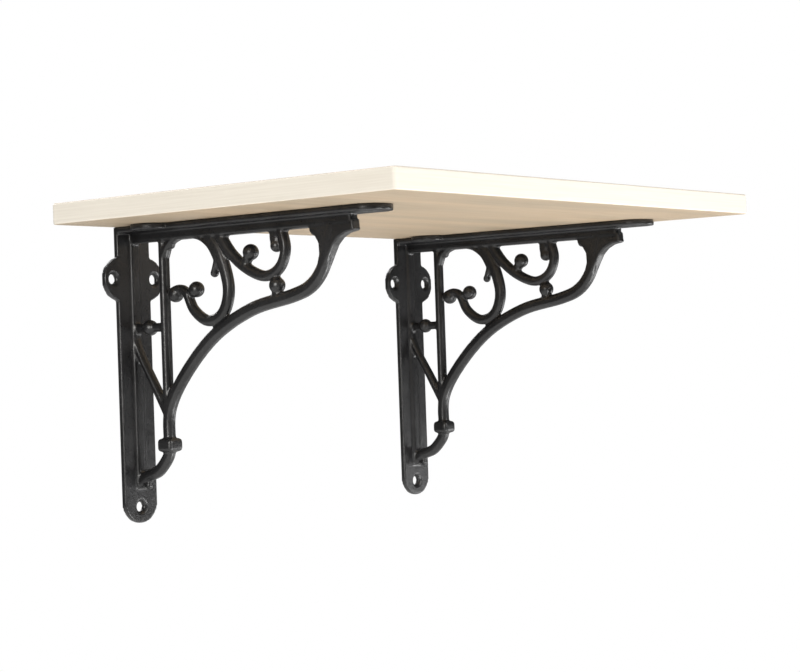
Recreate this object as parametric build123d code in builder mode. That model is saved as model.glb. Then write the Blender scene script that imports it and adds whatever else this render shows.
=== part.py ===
"""Wall shelf: a plain board on two cast-iron scroll brackets.

The origin is on the wall, halfway between the left bracket's two upper wall holes.
X runs along the wall, +Y points into the wall, +Z is up, and the shelf stands out
towards -Y. All sizes are in millimetres.
"""

import os

from build123d import *

# Board
board_length = 400.0
board_depth = 290.0
board_thickness = 14.0
board_left_overhang = 70.0  # left bracket's middle to the board's left end
board_corner_radius = 3.0
board_edge_radius = 1.2

# Brackets
bracket_spacing = 300.0  # middle to middle
leg_height = 200.0  # top of the flange down to the tip of the wall plate
arm_length = 227.0  # wall to the tip of the flange
plate_width = 30.0
plate_thickness = 4.0
flange_thickness = 4.0
plate_edge_radius = 1.0

# Ears beside the wall plate and beside the back of the flange
ear_drop = 35.0  # flange top down to the wall ears, and wall out to the flange ears
ear_radius = 14.6
ear_offset = 12.5  # bracket's middle plane to the ear's centre
ear_hole_offset = 19.0  # bracket's middle plane to the ear's hole

# Countersunk screw holes
hole_radius = 3.25
countersink_radius = 5.25
countersink_angle = 90.0
foot_hole_inset = 11.0  # tip of the wall plate to its hole
nose_hole_inset = 14.0  # tip of the flange to its hole

# Stiffening ribs on the plate and under the flange
plate_rib_width = 8.0
plate_rib_height = 2.0
plate_rib_end = 178.0  # below the flange top
rail_width = 8.4
rail_depth = 11.0  # below the flange top
rail_end = 200.0  # from the wall

# Web bars and scrolls
bar_thickness = 8.0
scroll_thickness = 7.2
bar_chamfer = 1.8
post_offset = 32.5  # wall to the middle of the upright post
post_width = 6.6
leg_width = 8.4
arch_top_width = 9.0
scroll_width = 6.4
scroll_root_width = 9.6  # where the large scroll leaves the rail
scroll_tip_width = 5.1
small_scroll_root_width = 7.7
brace_width = 6.6
brace_root_width = 4.0  # where the brace leaves the wall plate
post_relief = 0.3  # how much thinner the post, brace and capital are than the bars they meet
stem_thickness = 6.8
leaf_thickness = 6.6
ball_radius = 5.4
bud_radius = 2.8
bead_link_radius = 3.0
collar_width = 13.0
collar_height = 9.0
collar_chamfer = 2.6
collar_drop = 147.5  # flange top to the middle of the collar

# Screws that hold the board on the flanges
screw_length = 11.0
screw_shank_radius = 2.0
screw_head_radius = 4.75
screw_point_length = 2.5
recess_width = 1.1
recess_length = 4.6
recess_depth = 1.3

STATIONS = 24  # places along a bar where its edge is worked out

# The arm and leg that the scrollwork's points are drawn for
drawn_arm = 227.0
drawn_leg = 200.0

# The web's own plane: x is the distance from the wall, y is the height above the flange top
flange_top = ear_drop
web_plane = Plane(origin=(0, 0, flange_top), x_dir=(0, -1, 0), z_dir=(-1, 0, 0))
wall_plane = Plane(origin=(0, 0, flange_top), x_dir=(1, 0, 0), z_dir=(0, -1, 0))
flange_plane = Plane(origin=(0, 0, flange_top), x_dir=(-1, 0, 0), z_dir=(0, 0, -1))
stretch = arm_length / drawn_arm  # the scrollwork follows the arm's length
rise = leg_height / drawn_leg  # and the leg's height


def web_point(distance, drop):
    """A point of the scrollwork, given for the drawn arm and leg."""
    return (distance * stretch, -drop * rise)


def beside(point, outwards, upwards):
    """A place a fixed way from a bar's point, so what rests on the bar goes on touching it."""
    return (point[0] + outwards, point[1] + upwards)


def bar(points, start_width, end_width, thickness, start=None, end=None):
    """A flat bar with chamfered edges, along a smooth line through the points."""
    tangents = (start, end) if start and end else ()
    with BuildPart() as piece:
        with BuildSketch(web_plane):
            with BuildLine():
                middle = Spline(*points, tangents=tangents, mode=Mode.PRIVATE)
                left, right = [], []
                for station in range(STATIONS + 1):
                    t = station / STATIONS
                    half = 0.5 * (start_width + (end_width - start_width) * t)
                    across = (middle % t).rotate(Axis.Z, 90)
                    left.append(middle @ t + across * half)
                    right.append(middle @ t - across * half)
                edge_a = Spline(*left)
                edge_b = Spline(*right)
                Line(edge_a @ 0, edge_b @ 0)
                Line(edge_a @ 1, edge_b @ 1)
            make_face()
        extrude(amount=thickness / 2, both=True)
        long_edges = piece.edges().filter_by(GeomType.BSPLINE)
        chamfer(long_edges, length=bar_chamfer)
    return piece.part


def eared_strip(length, hole_inset, thickness):
    """A strip from the corner to its round end, with two ears and three countersunk holes."""
    with BuildPart() as piece:
        with BuildSketch():
            with Locations((0, -(length - plate_width / 2) / 2)):
                Rectangle(plate_width, length - plate_width / 2)
            with Locations((0, -(length - plate_width / 2))):
                Circle(plate_width / 2)
            with Locations((-ear_offset, -ear_drop), (ear_offset, -ear_drop)):
                Circle(ear_radius)
        extrude(amount=thickness)
        rim = piece.faces().sort_by(Axis.Z)[-1].edges()
        front_rim = [edge for edge in rim if edge.center().Y < -1.0]
        fillet(front_rim, radius=plate_edge_radius)
        with Locations(Plane.XY.offset(thickness)):
            with Locations(
                (-ear_hole_offset, -ear_drop),
                (ear_hole_offset, -ear_drop),
                (0, -(length - hole_inset)),
            ):
                CounterSinkHole(hole_radius, countersink_radius, thickness, countersink_angle)
    return piece.part


# ---------------------------------------------------------------- left bracket
# The wall plate lies in the wall plane and the flange is the same strip, laid level.
wall_strip = eared_strip(leg_height, foot_hole_inset, plate_thickness)
flange_strip = eared_strip(arm_length, nose_hole_inset, flange_thickness)

up, down = (0, 1), (0, -1)
rail_bottom = -rail_depth
rib_bottom = web_point(0, plate_rib_end)[1]
leg_bottom = web_point(post_offset, collar_drop)

with BuildPart() as arch:
    add(
        bar(
            [
                leg_bottom,
                web_point(33.8, 124),
                web_point(49.2, 100.8),
                web_point(77, 76),
                web_point(111, 60.2),
                web_point(146.5, 53.2),
                web_point(162.5, 47.6),
                web_point(172.8, 37),
                web_point(178.4, 22),
                web_point(183, 8.5),
            ],
            leg_width,
            arch_top_width,
            bar_thickness,
            up,
            (0.3, 1),
        )
    )

with BuildPart() as capital:  # the flared head where the arch meets the rail
    with BuildSketch(web_plane):
        with BuildLine():
            head_left = web_point(165, 9)
            head_right = web_point(201, 9)
            tip_left = web_point(165, 14)
            neck_left = web_point(172.8, 23)
            neck_right = web_point(183.2, 24)
            tip_right = web_point(194.5, 15)
            end_right = web_point(201.8, 15)
            Line(head_left, head_right)
            Line(head_right, end_right)
            Line(end_right, tip_right)
            Spline(tip_right, neck_right, tangents=((-1, 0), (-0.4, -1)))
            Line(neck_right, neck_left)
            Spline(neck_left, tip_left, tangents=((0, 1), (-1, 0.1)))
            Line(tip_left, head_left)
        make_face()
    extrude(amount=(bar_thickness - post_relief) / 2, both=True)

with BuildPart() as post:
    add(
        bar(
            [
                (post_offset * stretch, -flange_thickness),
                web_point(post_offset, 50),
                web_point(post_offset, 118),
            ],
            post_width,
            post_width,
            bar_thickness - post_relief,
        )
    )

with BuildPart() as brace:
    add(
        bar(
            [
                (plate_thickness, web_point(0, 76)[1]),
                web_point(9, 88),
                web_point(20, 106.5),
                web_point(31, 125),
            ],
            brace_root_width,
            brace_width,
            scroll_thickness - post_relief,
            (0.12, -1),
            (0.25, -1),
        )
    )

foot_turn = web_point(11, 168.5)
with BuildPart() as foot:
    add(
        bar(
            [
                leg_bottom,
                web_point(31, 155),
                web_point(22, 164.5),
                foot_turn,
                (plate_thickness, web_point(0, 173)[1]),
            ],
            leg_width,
            leg_width,
            scroll_thickness,
            down,
            (-1, -0.7),
        )
    )

scroll_tip = web_point(39, 45.5)
scroll_turn = web_point(53, 47)
with BuildPart() as large_scroll:
    add(
        bar(
            [
                web_point(74, 8.5),
                web_point(84, 22),
                web_point(91, 45),
                web_point(85.5, 61.5),
                web_point(72, 66),
                web_point(59.5, 58.5),
                scroll_turn,
                web_point(46.5, 43.6),
                scroll_tip,
            ],
            scroll_root_width,
            scroll_tip_width,
            scroll_thickness,
            (1, -0.5),
            (-1, -0.5),
        )
    )

with BuildPart() as small_scroll:
    add(
        bar(
            [
                web_point(84, 9),
                web_point(94.5, 23),
                web_point(108.5, 33.8),
                web_point(124, 39.4),
                web_point(136.5, 34.5),
                web_point(141.8, 22.5),
                web_point(138.5, 9),
            ],
            small_scroll_root_width,
            scroll_width,
            scroll_thickness,
            (0.35, -1),
            (-0.35, 1),
        )
    )

# Short necks and leaves carry the balls and buds that no bar runs into
curl_ball = web_point(111.5, 23.2)
with BuildPart() as small_scroll_stem:
    add(bar([curl_ball, web_point(106, 31)], 6.0, 7.0, stem_thickness))

crown_ball = web_point(133.5, 45.8)
with BuildPart() as ball_neck:
    add(bar([crown_ball, web_point(133.5, 56)], 6.6, 8.6, stem_thickness))

turn_ball = beside(scroll_turn, 8.8, 2.2)
with BuildPart() as turn_neck:
    add(bar([scroll_turn, turn_ball], 5.0, 5.0, leaf_thickness))

inner_bud = web_point(81, 34)
with BuildPart() as inner_leaf:
    add(bar([web_point(79, 17), web_point(82.5, 25), inner_bud], 6.0, 4.6, leaf_thickness))

outer_bud = web_point(133, 17.5)
with BuildPart() as outer_leaf:
    add(bar([web_point(136, 8), outer_bud], 9.0, 5.0, leaf_thickness))

bead = web_point(17.5, 68.5)
with BuildPart() as bead_link:
    with Locations((0, -post_offset * stretch / 2, flange_top + bead[1])):
        Cylinder(bead_link_radius, post_offset * stretch - plate_thickness, rotation=(90, 0, 0))

tip_ball = beside(scroll_tip, 3.5, -1.7)
balls = [tip_ball, turn_ball, curl_ball, crown_ball, bead]
capital_bud = web_point(167, 13.5)
foot_bud = beside(foot_turn, 0.5, -6.0)
rail_bud = beside((42.0 * stretch, rail_bottom), 0.0, -2.5)
buds = [inner_bud, outer_bud, capital_bud, foot_bud, rail_bud]

with BuildPart() as collar:
    with Locations((0, -leg_bottom[0], flange_top + leg_bottom[1])):
        Box(collar_width, collar_width, collar_height)
    chamfer(collar.edges().filter_by(Axis.Z, reverse=True), length=collar_chamfer)

with BuildPart() as bracket_left:
    with Locations(wall_plane):
        add(wall_strip)
    with Locations(flange_plane):
        add(flange_strip)
    with BuildSketch(web_plane):
        with BuildLine():
            Polyline(
                (plate_thickness / 2, -flange_thickness / 2),
                (rail_end * stretch, -flange_thickness / 2),
                (rail_end * stretch, rail_bottom),
                (plate_thickness / 2, rail_bottom),
                close=True,
            )
        make_face()
    extrude(amount=rail_width / 2, both=True)
    with BuildSketch(web_plane):
        with BuildLine():
            Polyline(
                (plate_thickness / 2, rail_bottom / 2),
                (plate_thickness + plate_rib_height, rail_bottom / 2),
                (plate_thickness + plate_rib_height, rib_bottom + plate_rib_height * 2),
                (plate_thickness / 2, rib_bottom),
                close=True,
            )
        make_face()
    extrude(amount=plate_rib_width / 2, both=True)
    add(arch.part)
    add(capital.part)
    add(post.part)
    add(brace.part)
    add(foot.part)
    add(large_scroll.part)
    add(small_scroll.part)
    add(small_scroll_stem.part)
    add(ball_neck.part)
    add(turn_neck.part)
    add(inner_leaf.part)
    add(outer_leaf.part)
    add(bead_link.part)
    for distance, height in balls:
        with Locations((0, -distance, flange_top + height)):
            Sphere(ball_radius)
    for distance, height in buds:
        with Locations((0, -distance, flange_top + height)):
            Sphere(bud_radius)
    add(collar.part)
bracket_left.part.label = "bracket_left"

# --------------------------------------------------------------- right bracket
with BuildPart() as bracket_right:
    with Locations((bracket_spacing, 0, 0)):
        add(bracket_left.part)
bracket_right.part.label = "bracket_right"

# ----------------------------------------------------------------- shelf board
# Each bracket takes three screws: one through each flange ear and one at the nose.
screw_places = {
    "rear_outer": (-ear_hole_offset, -ear_drop),
    "rear_inner": (ear_hole_offset, -ear_drop),
    "front": (0, -(arm_length - nose_hole_inset)),
}
brackets = {"left": 0.0, "right": bracket_spacing}
board_left = -board_left_overhang
pilot_depth = screw_length - flange_thickness

with BuildPart() as shelf_board:
    with BuildSketch(Plane.XY.offset(flange_top)):
        with Locations((board_left + board_length / 2, -board_depth / 2)):
            RectangleRounded(board_length, board_depth, board_corner_radius)
    extrude(amount=board_thickness)
    fillet(shelf_board.edges().filter_by(Plane.XY), radius=board_edge_radius)
    for bracket_x in brackets.values():
        for x, y in screw_places.values():
            with BuildSketch(Plane.XY.offset(flange_top)):
                with Locations((bracket_x + x, y)):
                    Circle(screw_shank_radius)
            extrude(amount=pilot_depth, mode=Mode.SUBTRACT)
shelf_board.part.label = "shelf_board"

# ---------------------------------------------------------------- shelf screws
# A countersunk screw drawn on its axis, its head level with the flange's lower face.
head_top = flange_top - flange_thickness
with BuildPart() as screw:
    with BuildSketch(Plane.XZ):
        with BuildLine():
            Polyline(
                (0, head_top),
                (screw_head_radius, head_top),
                (screw_shank_radius, head_top + screw_head_radius - screw_shank_radius),
                (screw_shank_radius, head_top + screw_length - screw_point_length),
                (0, head_top + screw_length),
                close=True,
            )
        make_face()
    revolve(axis=Axis.Z)
    with BuildSketch(Plane.XY.offset(head_top)):
        Rectangle(recess_length, recess_width)
        Rectangle(recess_width, recess_length)
    extrude(amount=recess_depth, mode=Mode.SUBTRACT)

os.makedirs("parts", exist_ok=True)
for piece in (bracket_left, bracket_right, shelf_board):
    export_step(piece.part, f"parts/{piece.part.label}.step")

for side, bracket_x in brackets.items():
    for place, (x, y) in screw_places.items():
        with BuildPart() as shelf_screw:
            with Locations((bracket_x + x, y, 0)):
                add(screw.part)
        shelf_screw.part.label = f"shelf_screw_{side}_{place}"
        export_step(shelf_screw.part, f"parts/{shelf_screw.part.label}.step")
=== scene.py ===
"""Wall shelf on two cast-iron scroll brackets: its shapes and finishes, the studio and the camera.

The brackets are cast here as one skin each, from swept bars, balls and plates that a fine remesh
welds together the way poured iron joins. The board and the screws keep the frame's own shapes.
"""

import math

import bmesh
import bpy
from mathutils import Euler, Matrix, Vector
from mathutils.geometry import interpolate_bezier


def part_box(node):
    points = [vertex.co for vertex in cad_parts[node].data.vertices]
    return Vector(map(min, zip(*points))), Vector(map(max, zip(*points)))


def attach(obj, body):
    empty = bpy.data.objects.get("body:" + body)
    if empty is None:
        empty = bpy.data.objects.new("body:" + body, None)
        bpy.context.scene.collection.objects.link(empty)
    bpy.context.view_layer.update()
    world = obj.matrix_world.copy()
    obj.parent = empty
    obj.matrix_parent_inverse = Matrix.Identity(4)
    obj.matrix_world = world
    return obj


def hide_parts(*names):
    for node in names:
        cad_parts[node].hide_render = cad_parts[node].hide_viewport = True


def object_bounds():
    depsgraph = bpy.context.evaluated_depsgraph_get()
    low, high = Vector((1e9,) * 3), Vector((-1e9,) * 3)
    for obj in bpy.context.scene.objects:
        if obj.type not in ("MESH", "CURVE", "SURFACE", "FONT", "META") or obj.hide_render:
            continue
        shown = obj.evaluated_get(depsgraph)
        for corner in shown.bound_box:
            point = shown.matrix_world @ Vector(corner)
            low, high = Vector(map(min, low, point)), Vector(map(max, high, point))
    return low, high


bl_info = {
    "name": "Wall Shelf with Scroll Brackets",
    "version": (1, 0, 0),
    "blender": (4, 5, 0),
    "location": "3D View > Sidebar > Wall Shelf",
    "description": "Casts the scroll brackets, finishes the board and screws, and sets up the studio",
    "category": "Object",
}

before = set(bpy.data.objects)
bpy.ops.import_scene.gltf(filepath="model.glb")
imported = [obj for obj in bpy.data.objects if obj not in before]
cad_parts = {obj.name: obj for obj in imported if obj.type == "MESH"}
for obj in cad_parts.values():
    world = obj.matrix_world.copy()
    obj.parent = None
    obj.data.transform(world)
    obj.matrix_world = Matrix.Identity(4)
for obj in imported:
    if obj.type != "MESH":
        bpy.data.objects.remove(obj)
CAD_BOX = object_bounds()
BODY = "root"
MM = 0.001
SIDES = ("left", "right")

# Bracket sizes, in millimetres
PLATE_WIDTH = 30.0
PLATE_THICKNESS = 4.0
EAR_DROP = 35.0  # corner to the ears, down the wall and out along the flange
EAR_OFFSET = 12.5
EAR_RADIUS = 14.6
EAR_HOLE = 19.0
HOLE_RADIUS = 3.25
SINK_RADIUS = 5.25
FOOT_HOLE_INSET = 11.0
NOSE_HOLE_INSET = 14.0
LOBE_RADIUS = 4.3
HEAD_RELIEF = 0.4  # how much thinner the arch's head is than the arch
BORE_MARGIN = 3.0  # how far a hole's cutter runs past each face of its strip
SINK_MARGIN = 0.6  # how far a countersink's cutter rises past the room side
ROOM_SIDE = 5.0  # ribs are bevelled this far or further from the wall and the flange's top

# Fineness of the shapes
LINE_STEPS = 8
BAR_SIDES = 8
DISC_SEGMENTS = 64
BALL_SEGMENTS = 28
BALL_RINGS = 16
BEVEL_SEGMENTS = 3
SOFTEN_FACTOR = 0.5

# Colours that the settings leave alone
WARM_STREAK = (0.70, 0.50, 0.32)
DARK_PORE = (0.42, 0.31, 0.20)
FLOOR_DARKER = (0.80, 0.80, 0.79)
FLOOR_LIGHTER = (0.83, 0.83, 0.825)

# Stage
FLOOR_CENTRE = (0.15, -0.15)
FLOOR_RADIUS = 2.2
FLOOR_SEGMENTS = 96
VIEW_LIMIT = 50.0
SKY_SEEN = 1.0
SKY_REFLECTED = 0.13

# Sockets of the colour Mix node, which share their names with those of its other data types
MIX_FACTOR, MIX_FIRST, MIX_SECOND, MIX_RESULT = 0, 6, 7, 2

# ------------------------------------------------------------------ bracket layout, in millimetres
# Places on the scrollwork are (distance from the wall, drop below the flange's top).
POST_OFFSET = 32.5  # wall to the middle of the post and the leg
LEG_BEND = (POST_OFFSET, 147.5)
SCROLL_TURN = (53, 47)
TIP_BALL = (42.5, 47.2)
TURN_BALL = (61.8, 44.8)
CURL_BALL = (111.5, 23.2)
CROWN_BALL = (133.5, 45.8)
BEAD = (17.5, 68.5)
POST = ((POST_OFFSET, 4), (POST_OFFSET, 50), (POST_OFFSET, 122))
ARCH = (
    LEG_BEND, (33.8, 124), (49.2, 100.8), (77, 76), (111, 60.2), (146.5, 53.2),
    (162.5, 47.6), (172.8, 37), (178.4, 22), (183, 8.5),
)
LARGE_SCROLL = (
    (74, 8.5), (84, 22), (91, 45), (85.5, 61.5), (72, 66), (59.5, 58.5), SCROLL_TURN,
    (46.5, 43.6), (39, 45.5),
)
SMALL_SCROLL = (
    (84, 9), (94.5, 23), (108.5, 33.8), (124, 39.4), (136.5, 34.5), (141.8, 22.5), (138.5, 9),
)
BRACE = ((4, 76), (9, 88), (20, 106.5), (31, 125))
FOOT = (LEG_BEND, (31, 155), (22, 164.5), (11, 168.5), (4, 173))
STEM = (CURL_BALL, (106, 31))
NECK = (CROWN_BALL, (133.5, 56))
INNER_LEAF = ((80, 15), (82, 25), (78.5, 35.5))
TURN_NECK = (SCROLL_TURN, TURN_BALL)
OUTER_LEAF = ((134.5, 8), (133.8, 15), (134.4, 21))
ROOT_SWELL = ((56, 9), (67, 11), (76, 17), (81.5, 25.5))
POST_SWELL = ((34, 21), (38, 13.5), (47, 9.5))
BEAD_LINK = ((3, BEAD[1]), (31, BEAD[1]))
BALLS = (TIP_BALL, TURN_BALL, CURL_BALL, CROWN_BALL, BEAD)
BUDS = ((78.8, 35), (167, 13.5), (11.5, 174.5), (39.5, 14))
LOBES = ((134.2, 20.5),)
HEAD = (  # the flared head of the arch, round its outline
    (165, 8), (165, 13.5), (169.2, 16.5), (172, 21), (172.6, 28), (170.8, 34), (177, 36),
    (181, 29), (184.4, 23), (189, 18.8), (194.5, 16.2), (201.8, 15), (201, 8),
)
BARS = (  # line, width at its start and end, how much thinner than the casting's bars
    (ARCH, 8.4, 9.0, 0.0),
    (POST, 6.6, 6.6, 0.3),
    (POST_SWELL, 4.5, 3.5, 0.8),
    (BEAD_LINK, 6.0, 6.0, 2.0),
)
SCROLLWORK = (  # the same for what is as thin as the scrolls
    (BRACE, 4.0, 6.6, 0.3),
    (FOOT, 8.4, 7.6, 0.0),
    (LARGE_SCROLL, 9.6, 5.1, 0.0),
    (ROOT_SWELL, 3.0, 4.0, 0.0),
    (SMALL_SCROLL, 7.7, 6.4, 0.0),
    (STEM, 6.0, 7.0, 0.6),
    (NECK, 6.6, 8.6, 0.6),
    (TURN_NECK, 5.0, 5.0, 1.0),
    (INNER_LEAF, 6.0, 3.8, 1.0),
    (OUTER_LEAF, 10.5, 8.0, 1.0),
)
# Blocks in the bracket's own frame are (lowest corner, highest corner, bevel).
FLANGE_RAIL = ((-4.2, -200, -11), (4.2, -2, -2), 2.0)
PLATE_RIB = ((-4, -6, -176), (4, -2, -4), 1.2)
COLLAR = ((-6.5, -39, -152), (6.5, -26, -143), 2.4)


# ------------------------------------------------------------------------------- settings
class WallShelfBracketSettings(bpy.types.PropertyGroup):
    bar_thickness: bpy.props.FloatProperty(
        name="Bar Thickness", description="Thickness of the arch, post and leg",
        default=8.0 * MM, min=4.0 * MM, unit="LENGTH",
    )
    scroll_thickness: bpy.props.FloatProperty(
        name="Scroll Thickness", description="Thickness of the scrolls",
        default=7.4 * MM, min=3.0 * MM, unit="LENGTH",
    )
    ball_radius: bpy.props.FloatProperty(
        name="Ball Radius", description="Radius of the scrolls' ball ends",
        default=5.4 * MM, min=2.0 * MM, unit="LENGTH",
    )
    bud_radius: bpy.props.FloatProperty(
        name="Bud Radius", description="Radius of the small buds on the leaves",
        default=2.9 * MM, min=1.0 * MM, unit="LENGTH",
    )
    skin: bpy.props.FloatProperty(
        name="Casting Skin", description="Grid size of the skin that welds the casting together",
        default=0.8 * MM, min=0.4 * MM, unit="LENGTH",
    )
    softening: bpy.props.IntProperty(
        name="Softening", description="Rounds of smoothing that round the casting's edges",
        default=3, min=0, max=20,
    )
    iron_colour: bpy.props.FloatVectorProperty(
        name="Iron Colour", description="Colour of the black casting",
        default=(0.0075, 0.0075, 0.008), min=0.0, max=1.0, size=3, subtype="COLOR",
    )


class WallShelfBoardSettings(bpy.types.PropertyGroup):
    # The faces' colour is darker than the edge band partly as painted shade.
    face_colour_and_shade: bpy.props.FloatVectorProperty(
        name="Face Colour", description="Colour of the board's faces",
        default=(0.405, 0.33, 0.235), min=0.0, max=1.0, size=3, subtype="COLOR",
    )
    grain_colour: bpy.props.FloatVectorProperty(
        name="Grain Colour", description="Colour of the darker grain",
        default=(0.32, 0.245, 0.165), min=0.0, max=1.0, size=3, subtype="COLOR",
    )
    # The pale edge band is partly painted light on the board's edges.
    edge_colour_and_light: bpy.props.FloatVectorProperty(
        name="Edge Colour", description="Colour of the pale edge band",
        default=(0.80, 0.755, 0.67), min=0.0, max=1.0, size=3, subtype="COLOR",
    )


class WallShelfScrewSettings(bpy.types.PropertyGroup):
    head_colour: bpy.props.FloatVectorProperty(
        name="Head Colour", description="Colour of the screw heads",
        default=(0.10, 0.10, 0.10), min=0.0, max=1.0, size=3, subtype="COLOR",
    )


class WallShelfStageSettings(bpy.types.PropertyGroup):
    floor_drop: bpy.props.FloatProperty(
        name="Floor Drop", description="How far the floor lies below the brackets",
        default=0.55, min=0.0, unit="LENGTH",
    )
    lens: bpy.props.FloatProperty(
        name="Lens", description="Focal length of the camera in millimetres",
        default=99.0, min=20.0, unit="CAMERA",
    )
    azimuth: bpy.props.FloatProperty(
        name="Azimuth", description="Direction the camera looks in, from +Y towards +X",
        default=math.radians(51.2), subtype="ANGLE",
    )
    tilt: bpy.props.FloatProperty(
        name="Tilt", description="How far the camera looks up",
        default=math.radians(1.0), subtype="ANGLE",
    )
    roll: bpy.props.FloatProperty(
        name="Roll", description="How far the camera leans",
        default=math.radians(-2.0), subtype="ANGLE",
    )
    camera_place: bpy.props.FloatVectorProperty(
        name="Camera Place", description="Where the camera stands",
        default=(-1.0497, -1.0769, -0.0707), size=3, subtype="XYZ_LENGTH",
    )


# ------------------------------------------------------------------------------- mesh helpers
def smooth_line(points):
    """Points along a Catmull-Rom line through the given ones."""
    line = []
    for i in range(len(points) - 1):
        before, after = points[max(i - 1, 0)], points[min(i + 2, len(points) - 1)]
        start, end = points[i], points[i + 1]
        handle_a = start + (end - before) / 6
        handle_b = end - (after - start) / 6
        span = interpolate_bezier(start, handle_a, handle_b, end, LINE_STEPS + 1)
        line += span if not line else span[1:]
    return line


def add_block(bm, low, high, bevel=0.0, keep=None):
    """A box between two corners, with the edges that keep() picks bevelled."""
    low, high = Vector(low), Vector(high)
    size = Matrix.Diagonal((*(high - low), 1.0))
    verts = bmesh.ops.create_cube(bm, matrix=Matrix.Translation((low + high) / 2) @ size)["verts"]
    if bevel:
        edges = {e for v in verts for e in v.link_edges if keep is None or keep(e)}
        bmesh.ops.bevel(
            bm, geom=list(edges), offset=bevel, offset_type="OFFSET", segments=BEVEL_SEGMENTS,
            profile=0.5, affect="EDGES", material=-1,
        )


def add_disc(bm, centre, radius, depth, top_radius=None):
    """An upright solid disc, or cone where it has a top radius, with its middle at centre."""
    bmesh.ops.create_cone(
        bm, cap_ends=True, segments=DISC_SEGMENTS, radius1=radius,
        radius2=radius if top_radius is None else top_radius, depth=depth,
        matrix=Matrix.Translation(centre),
    )


def add_bar(bm, points, start_width, end_width, thickness):
    """A bar with a chamfered section, swept along a smooth line in the web's plane."""
    path = smooth_line(points)
    across = Vector((1, 0, 0))
    frames = []
    for i, spot in enumerate(path):
        along = (path[min(i + 1, len(path) - 1)] - path[max(i - 1, 0)]).normalized()
        side = across.cross(along)
        share = i / (len(path) - 1)
        width = start_width + (end_width - start_width) * share
        turn = Matrix((side, across, along)).transposed().to_4x4()
        frames.append(Matrix.Translation(spot) @ turn @ Matrix.Diagonal((width, thickness, 1, 1)))
    flat_radius = 0.5 / math.cos(math.pi / BAR_SIDES)
    half_turn = Matrix.Rotation(math.pi / BAR_SIDES, 4, "Z")
    ring = bmesh.ops.create_circle(
        bm, cap_ends=True, segments=BAR_SIDES, radius=flat_radius, matrix=frames[0] @ half_turn
    )["verts"]
    edges = list({e for v in ring for e in v.link_edges})
    for before, after in zip(frames, frames[1:]):
        grown = bmesh.ops.extrude_edge_only(bm, edges=edges)["geom"]
        verts = [g for g in grown if isinstance(g, bmesh.types.BMVert)]
        edges = [
            g for g in grown
            if isinstance(g, bmesh.types.BMEdge) and all(v in verts for v in g.verts)
        ]
        bmesh.ops.transform(bm, matrix=after @ before.inverted(), verts=verts)
    bmesh.ops.contextual_create(bm, geom=edges)


def mesh_from(bm, name):
    """A mesh of the collected shapes, with every closed shape's faces outwards."""
    bmesh.ops.recalc_face_normals(bm, faces=bm.faces)
    mesh = bpy.data.meshes.new(name)
    bm.to_mesh(mesh)
    bm.free()
    return mesh


def evaluated(obj):
    """The mesh that the object's modifiers give."""
    graph = bpy.context.evaluated_depsgraph_get()
    graph.update()
    return bpy.data.meshes.new_from_object(obj.evaluated_get(graph))


def new_object(name, data):
    """An object in the scene that holds a mesh, a light or a camera."""
    obj = bpy.data.objects.new(name, data)
    bpy.context.scene.collection.objects.link(obj)
    return obj


def drop_object(obj):
    """Removes a working object and its mesh."""
    mesh = obj.data
    bpy.data.objects.remove(obj)
    bpy.data.meshes.remove(mesh)


def coat(obj, material):
    """Makes one material the whole finish of a piece or a node."""
    obj.data.materials.clear()
    obj.data.materials.append(material)


def finish_piece(obj, material, node):
    """Gives a piece its material and its body, and hides the node it stands for."""
    coat(obj, material)
    obj.data.polygons.foreach_set("use_smooth", [True] * len(obj.data.polygons))
    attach(obj, BODY)
    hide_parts(node)


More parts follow.
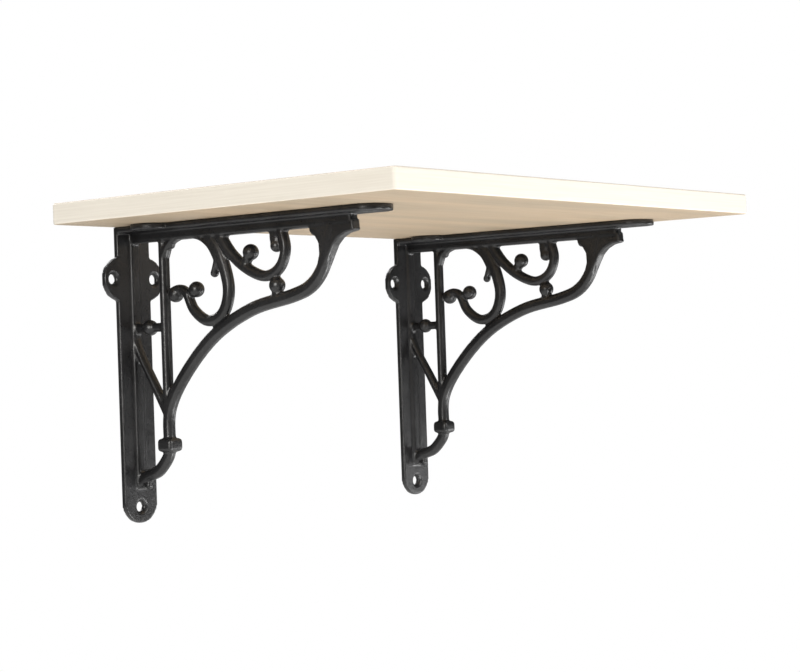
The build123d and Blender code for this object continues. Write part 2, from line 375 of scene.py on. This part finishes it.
# ------------------------------------------------------------------------------- materials
class Nodes:
    """A short way to lay out a material's nodes."""

    def __init__(self, name):
        self.material = bpy.data.materials.new(name)
        self.material.use_nodes = True
        self.tree = self.material.node_tree
        self.shader = self.tree.nodes["Principled BSDF"]
        self.coords = self.tree.nodes.new("ShaderNodeTexCoord")

    def link(self, source, target):
        """Wires one socket to another."""
        self.tree.links.new(source, target)

    def add(self, kind, inputs, **settings):
        """A new node with its settings, and with a socket or a value on each named input."""
        node = self.tree.nodes.new(kind)
        for key, value in settings.items():
            setattr(node, key, value)
        for key, value in inputs.items():
            if isinstance(value, bpy.types.NodeSocket):
                self.link(value, node.inputs[key])
            else:
                node.inputs[key].default_value = value
        return node

    def stretched(self, scale):
        """Object coordinates, scaled along each axis."""
        inputs = {"Vector": self.coords.outputs["Object"], "Scale": scale}
        return self.add("ShaderNodeMapping", inputs).outputs["Vector"]

    def noise(self, vector, scale, detail=3.0, roughness=0.5, distortion=0.0):
        """Soft noise, from 0 to 1."""
        return self.add(
            "ShaderNodeTexNoise",
            {"Vector": vector, "Scale": scale, "Detail": detail, "Roughness": roughness,
             "Distortion": distortion},
        ).outputs["Fac"]

    def remap(self, value, low, high, to_low=0.0, to_high=1.0):
        """A value's stretch from low to high, spread over another stretch and clamped to it."""
        return self.add(
            "ShaderNodeMapRange",
            {"Value": value, "From Min": low, "From Max": high, "To Min": to_low,
             "To Max": to_high},
        ).outputs["Result"]

    def mix(self, factor, first, second):
        """The first colour where the factor is 0, turning to the second where it is 1."""
        node = self.add("ShaderNodeMix", {MIX_FACTOR: factor}, data_type="RGBA")
        for index, colour in ((MIX_FIRST, first), (MIX_SECOND, second)):
            if isinstance(colour, bpy.types.NodeSocket):
                self.link(colour, node.inputs[index])
            else:
                node.inputs[index].default_value = (*colour, 1.0)
        return node.outputs[MIX_RESULT]

    def bump(self, height, strength, distance, normal=None):
        """A bumped normal, on top of another one where it is given."""
        inputs = {"Height": height, "Strength": strength, "Distance": distance}
        if normal is not None:
            inputs["Normal"] = normal
        return self.add("ShaderNodeBump", inputs).outputs["Normal"]

    def set(self, **values):
        """Puts a socket or a value on each of the shader's inputs that is named."""
        for key, value in values.items():
            socket = self.shader.inputs[key.replace("_", " ")]
            if isinstance(value, bpy.types.NodeSocket):
                self.link(value, socket)
            else:
                socket.default_value = value


def lighter(colour, times, lift=0.0):
    """A colour made that many times lighter and lifted, and held to white."""
    return tuple(min(1.0, c * times + lift) for c in colour)


def black_iron(colour):
    """Satin black paint over sand-cast iron: a fine sandy skin, soft lumps and a few pits."""
    n = Nodes("black_cast_iron")
    place = n.coords.outputs["Object"]
    sand = n.noise(place, scale=900.0, detail=4.0, roughness=0.6)
    lumps = n.noise(place, scale=140.0, detail=2.0)
    pits = n.add(
        "ShaderNodeTexVoronoi", {"Vector": place, "Scale": 330.0}, feature="F1"
    ).outputs["Distance"]
    pit_depth = n.remap(pits, 0.0, 0.16)
    patches = n.noise(place, scale=38.0)
    grey = lighter(colour, 2.1, lift=0.004)
    n.set(
        Base_Color=n.mix(n.remap(patches, 0.35, 0.72), colour, grey),
        Roughness=n.remap(sand, 0.3, 0.75, 0.26, 0.40),
        Specular_IOR_Level=0.5,
        Metallic=0.0,
    )
    coarse = n.bump(lumps, strength=0.35, distance=0.0006)
    fine = n.bump(sand, strength=0.30, distance=0.00025, normal=coarse)
    n.set(Normal=n.bump(pit_depth, strength=0.25, distance=0.00015, normal=fine))
    return n.material


def pale_wood(face, grain, edge):
    """Pale lacquered board: long fine grain on its faces and a plain pale band round its edge. The
    band is paler than the faces partly as painted light on the edges, and the faces are darker partly
    as painted shade.
    """
    n = Nodes("pale_board")
    long_grain = n.stretched((1.6, 60.0, 60.0))
    fine = n.noise(long_grain, scale=9.0, detail=6.0, roughness=0.62, distortion=0.35)
    broad = n.noise(n.stretched((1.2, 9.0, 9.0)), scale=3.0, distortion=0.6)
    pores = n.noise(n.stretched((14.0, 900.0, 900.0)), scale=1.0, detail=2.0)
    # Top and underside take the darker wood colour and the edges the pale band: partly the board's
    # own tones, partly painted shade on the faces and painted light on the edges.
    normal = n.add("ShaderNodeSeparateXYZ", {"Vector": n.coords.outputs["Normal"]}).outputs["Z"]
    facing = n.add("ShaderNodeMath", {0: normal}, operation="ABSOLUTE").outputs["Value"]
    shaded_face_mask = n.remap(facing, 0.55, 0.9)
    wood = n.mix(n.remap(fine, 0.32, 0.72, 0.0, 0.75), face, grain)
    warm = n.mix(n.remap(broad, 0.35, 0.7, 0.0, 0.3), wood, WARM_STREAK)
    board = n.mix(n.remap(pores, 0.60, 0.74, 0.0, 0.35), warm, DARK_PORE)
    along_edge = n.noise(n.stretched((7.0, 7.0, 420.0)), scale=2.0, detail=4.0, roughness=0.6)
    # The pale band round the edges is partly painted light.
    pale_edge_and_light_band = n.mix(n.remap(along_edge, 0.35, 0.8, 0.0, 0.22), edge, face)
    n.set(
        Base_Color=n.mix(shaded_face_mask, pale_edge_and_light_band, board),
        Roughness=n.remap(fine, 0.2, 0.8, 0.42, 0.56),
        Specular_IOR_Level=0.35,
    )
    swell = n.bump(broad, strength=0.1, distance=0.0006)
    n.set(Normal=n.bump(fine, strength=0.16, distance=0.0002, normal=swell))
    return n.material


def dark_steel(colour):
    """Blackened steel screw with brighter worn spots."""
    n = Nodes("blackened_steel")
    place = n.coords.outputs["Object"]
    wear = n.noise(place, scale=420.0)
    n.set(
        Base_Color=n.mix(n.remap(wear, 0.45, 0.75, 0.0, 0.6), colour, lighter(colour, 2.6)),
        Metallic=0.85,
        Roughness=n.remap(wear, 0.3, 0.7, 0.28, 0.42),
        Normal=n.bump(n.noise(place, scale=1600.0), strength=0.15, distance=0.0001),
    )
    return n.material


def studio_floor():
    """Plain pale paper, a little uneven."""
    n = Nodes("studio_floor")
    shade = n.noise(n.coords.outputs["Object"], scale=2.0, detail=1.0)
    n.set(
        Base_Color=n.mix(n.remap(shade, 0.3, 0.7), FLOOR_DARKER, FLOOR_LIGHTER),
        Roughness=0.9,
    )
    return n.material


# ------------------------------------------------------------------------------- brackets
def strip_blank(length):
    """One eared strip before its holes, lying in XY with its room side up."""
    bm = bmesh.new()
    half, end = PLATE_WIDTH / 2, -(length - PLATE_WIDTH / 2)
    thick = PLATE_THICKNESS
    add_block(bm, (-half, end, 0), (half, 0, thick))
    add_disc(bm, (0, end, thick / 2), half, thick)
    for side in (-1, 1):
        add_disc(bm, (side * EAR_OFFSET, -EAR_DROP, thick / 2), EAR_RADIUS, thick)
    return bm


def strip_cutters(length, hole_inset):
    """The countersunk holes of one strip: a straight bore and a cone that opens to the room."""
    bm = bmesh.new()
    sink = SINK_RADIUS - HOLE_RADIUS
    bore_depth = PLATE_THICKNESS + 2 * BORE_MARGIN
    sink_middle = PLATE_THICKNESS + (SINK_MARGIN - sink) / 2
    for x, y in ((-EAR_HOLE, -EAR_DROP), (EAR_HOLE, -EAR_DROP), (0, -(length - hole_inset))):
        add_disc(bm, (x, y, PLATE_THICKNESS / 2), HOLE_RADIUS, bore_depth)
        add_disc(
            bm, (x, y, sink_middle), HOLE_RADIUS, sink + SINK_MARGIN, SINK_RADIUS + SINK_MARGIN
        )
    return bm


def holed_strip(length, hole_inset, placing):
    """The finished strip's mesh, turned into place, in millimetres."""
    strip = new_object("strip", mesh_from(strip_blank(length), "strip"))
    cutter = new_object("cutter", mesh_from(strip_cutters(length, hole_inset), "cutter"))
    cut = strip.modifiers.new("holes", "BOOLEAN")
    cut.object = cutter
    cut.operation = "DIFFERENCE"
    cut.solver = "EXACT"
    cut.use_self = True
    mesh = evaluated(strip)
    mesh.transform(placing)
    drop_object(strip)
    drop_object(cutter)
    return mesh


def faces_room(edge):
    """Whether an edge of a rib or the collar is away from the plate and the flange."""
    middle = (edge.verts[0].co + edge.verts[1].co) / 2
    return middle.y < -ROOM_SIDE and middle.z < -ROOM_SIDE


def on_web(point):
    """A place on the scrollwork, in the bracket's own frame."""
    return Vector((0, -point[0], -point[1]))


def add_head(bm, thickness):
    """The flared head of the arch."""
    outline = [bm.verts.new(on_web(p) - Vector((thickness / 2, 0, 0))) for p in HEAD]
    grown = bmesh.ops.extrude_face_region(bm, geom=[bm.faces.new(outline)], use_keep_orig=True)
    moved = [g for g in grown["geom"] if isinstance(g, bmesh.types.BMVert)]
    bmesh.ops.translate(bm, vec=(thickness, 0, 0), verts=moved)


def add_web(bm, settings):
    """The scrollwork's bars, balls, head, collar and ribs, in millimetres."""
    bar_thickness = settings.bar_thickness / MM
    for bars, thickness in ((BARS, bar_thickness), (SCROLLWORK, settings.scroll_thickness / MM)):
        for line, start_width, end_width, thinner in bars:
            add_bar(bm, [on_web(p) for p in line], start_width, end_width, thickness - thinner)
    for points, radius in (
        (BALLS, settings.ball_radius / MM), (BUDS, settings.bud_radius / MM), (LOBES, LOBE_RADIUS)
    ):
        for point in points:
            bmesh.ops.create_uvsphere(
                bm, u_segments=BALL_SEGMENTS, v_segments=BALL_RINGS, radius=radius,
                matrix=Matrix.Translation(on_web(point)),
            )
    add_head(bm, bar_thickness - HEAD_RELIEF)
    for low, high, bevel in (FLANGE_RAIL, PLATE_RIB, COLLAR):
        add_block(bm, low, high, bevel, faces_room)


def bracket_skin(settings, arm_length, leg_height):
    """The casting's mesh, in metres, with its corner at the origin."""
    bm = bmesh.new()
    add_web(bm, settings)
    bmesh.ops.recalc_face_normals(bm, faces=bm.faces)
    upright = Matrix.Rotation(math.pi / 2, 4, "X")
    level = Matrix.Rotation(math.pi, 4, "Y")
    for length, inset, placing in (
        (leg_height, FOOT_HOLE_INSET, upright), (arm_length, NOSE_HOLE_INSET, level)
    ):
        strip = holed_strip(length, inset, placing)
        bm.from_mesh(strip)
        bpy.data.meshes.remove(strip)
    rough = bpy.data.meshes.new("rough")
    bm.to_mesh(rough)
    bm.free()
    rough.transform(Matrix.Scale(MM, 4))
    body = new_object("rough", rough)
    skin = body.modifiers.new("skin", "REMESH")
    skin.mode = "VOXEL"
    skin.voxel_size = settings.skin
    soften = body.modifiers.new("soften", "SMOOTH")
    soften.factor = SOFTEN_FACTOR
    soften.iterations = settings.softening
    mesh = evaluated(body)
    drop_object(body)
    return mesh


class WALLSHELF_OT_cast_brackets(bpy.types.Operator):
    """Cast both scroll brackets as single iron skins"""

    bl_idname = "wall_shelf.cast_brackets"
    bl_label = "Cast Brackets"

    def execute(self, context):
        settings = context.scene.wall_shelf_bracket
        iron = black_iron(tuple(settings.iron_colour))
        low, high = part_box("bracket_left")
        skin = bracket_skin(settings, (high.y - low.y) / MM, (high.z - low.z) / MM)
        for side in SIDES:
            node = f"bracket_{side}"
            low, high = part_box(node)
            mesh = skin.copy()
            mesh.transform(Matrix.Translation(((low.x + high.x) / 2, high.y, high.z)))
            finish_piece(new_object(f"{side}_bracket_casting", mesh), iron, node)
        bpy.data.meshes.remove(skin)
        return {"FINISHED"}


class WALLSHELF_OT_finish_board(bpy.types.Operator):
    """Give the shelf board its pale wood finish"""

    bl_idname = "wall_shelf.finish_board"
    bl_label = "Finish Board"

    def execute(self, context):
        settings = context.scene.wall_shelf_board
        wood = pale_wood(
            tuple(settings.face_colour_and_shade), tuple(settings.grain_colour), tuple(settings.edge_colour_and_light)
        )
        coat(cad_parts["shelf_board"], wood)
        return {"FINISHED"}


class WALLSHELF_OT_finish_screws(bpy.types.Operator):
    """Give the six shelf screws their blackened steel"""

    bl_idname = "wall_shelf.finish_screws"
    bl_label = "Finish Screws"

    def execute(self, context):
        steel = dark_steel(tuple(context.scene.wall_shelf_screw.head_colour))
        for name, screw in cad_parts.items():
            if name.startswith("shelf_screw"):
                coat(screw, steel)
        return {"FINISHED"}


# ------------------------------------------------------------------------------- stage
LIGHTS = (  # name, place, size, watts, colour
    ("front_softbox", (0.4, -2.2, 0.6), 1.3, 22.5, (1.0, 0.99, 0.97)),
    ("left_softbox", (-2.1, -0.6, 0.35), 1.0, 33.0, (1.0, 0.98, 0.95)),
    ("low_softbox", (0.2, -0.75, -0.64), 0.5, 6.8, (1.0, 1.0, 1.0)),
    ("right_softbox", (1.3, -0.75, -0.5), 0.5, 4.5, (1.0, 1.0, 1.0)),
    ("back_softbox", (0.6, 2.6, 1.6), 1.4, 38.0, (1.0, 1.0, 1.0)),
    ("top_softbox", (0.2, 0.2, 2.4), 1.8, 62.0, (1.0, 1.0, 1.0)),
)
LIGHT_TARGET = Vector((0.15, -0.12, -0.03))


def add_lights():
    """Round softboxes that all face the object and that the camera doesn't see."""
    for name, place, size, watts, colour in LIGHTS:
        light = bpy.data.lights.new(name, "AREA")
        light.shape = "DISK"
        light.size = size
        light.energy = watts
        light.color = colour
        lamp = new_object(name, light)
        lamp.location = place
        aim = LIGHT_TARGET - Vector(place)
        lamp.rotation_euler = aim.to_track_quat("-Z", "Y").to_euler()
        lamp.visible_camera = False


def add_sky():
    """A white studio behind the object, and a dimmer one in what its surfaces reflect."""
    world = bpy.data.worlds.new("studio")
    world.use_nodes = True
    tree = world.node_tree
    seen = tree.nodes.new("ShaderNodeLightPath").outputs["Is Camera Ray"]
    strength = tree.nodes.new("ShaderNodeMapRange")
    strength.inputs["To Min"].default_value = SKY_REFLECTED
    strength.inputs["To Max"].default_value = SKY_SEEN
    tree.links.new(seen, strength.inputs["Value"])
    tree.links.new(strength.outputs["Result"], tree.nodes["Background"].inputs["Strength"])
    tree.nodes["Background"].inputs["Color"].default_value = (1.0, 1.0, 1.0, 1.0)
    bpy.context.scene.world = world


def add_floor(height):
    """A round pale floor below the object."""
    bm = bmesh.new()
    bmesh.ops.create_circle(
        bm, cap_ends=True, segments=FLOOR_SEGMENTS, radius=FLOOR_RADIUS,
        matrix=Matrix.Translation((*FLOOR_CENTRE, height)),
    )
    floor = new_object("floor", mesh_from(bm, "floor"))
    coat(floor, studio_floor())


def add_camera(settings):
    """The camera, level before its tilt and roll."""
    lens = bpy.data.cameras.new("camera")
    lens.lens = settings.lens
    lens.clip_end = VIEW_LIMIT
    camera = new_object("camera", lens)
    aim = Euler((math.pi / 2 + settings.tilt, 0.0, -settings.azimuth)).to_matrix()
    turned = aim @ Matrix.Rotation(settings.roll, 3, "Z")
    camera.matrix_world = Matrix.Translation(settings.camera_place) @ turned.to_4x4()
    bpy.context.scene.camera = camera


class WALLSHELF_OT_set_stage(bpy.types.Operator):
    """Lay the floor, light the studio and set up the camera"""

    bl_idname = "wall_shelf.set_stage"
    bl_label = "Set Stage"

    def execute(self, context):
        settings = context.scene.wall_shelf_stage
        add_floor(Vector(CAD_BOX[0]).z - settings.floor_drop)
        add_lights()
        add_sky()
        add_camera(settings)
        context.scene.view_settings.view_transform = "Standard"
        return {"FINISHED"}


# ------------------------------------------------------------------------------- panel
PARTS = (
    ("wall_shelf.cast_brackets", "wall_shelf_bracket", WallShelfBracketSettings),
    ("wall_shelf.finish_board", "wall_shelf_board", WallShelfBoardSettings),
    ("wall_shelf.finish_screws", "wall_shelf_screw", WallShelfScrewSettings),
    ("wall_shelf.set_stage", "wall_shelf_stage", WallShelfStageSettings),
)


class VIEW3D_PT_wall_shelf(bpy.types.Panel):
    """Each group of settings, above the operator that uses it"""

    bl_label = "Wall Shelf"
    bl_space_type = "VIEW_3D"
    bl_region_type = "UI"
    bl_category = "Wall Shelf"

    def draw(self, context):
        for operator, group, settings in PARTS:
            box = self.layout.box()
            for key in settings.__annotations__:
                box.prop(getattr(context.scene, group), key)
            box.operator(operator)


CLASSES = (
    WallShelfBracketSettings,
    WallShelfBoardSettings,
    WallShelfScrewSettings,
    WallShelfStageSettings,
    WALLSHELF_OT_cast_brackets,
    WALLSHELF_OT_finish_board,
    WALLSHELF_OT_finish_screws,
    WALLSHELF_OT_set_stage,
    VIEW3D_PT_wall_shelf,
)


def register():
    for cls in CLASSES:
        bpy.utils.register_class(cls)
    for _operator, group, settings in PARTS:
        setattr(bpy.types.Scene, group, bpy.props.PointerProperty(type=settings))


def unregister():
    for _operator, group, _settings in PARTS:
        delattr(bpy.types.Scene, group)
    for cls in reversed(CLASSES):
        bpy.utils.unregister_class(cls)


def main():
    register()
    bpy.ops.wall_shelf.cast_brackets()
    bpy.ops.wall_shelf.finish_board()
    bpy.ops.wall_shelf.finish_screws()
    bpy.ops.wall_shelf.set_stage()


if __name__ == "__main__":
    main()
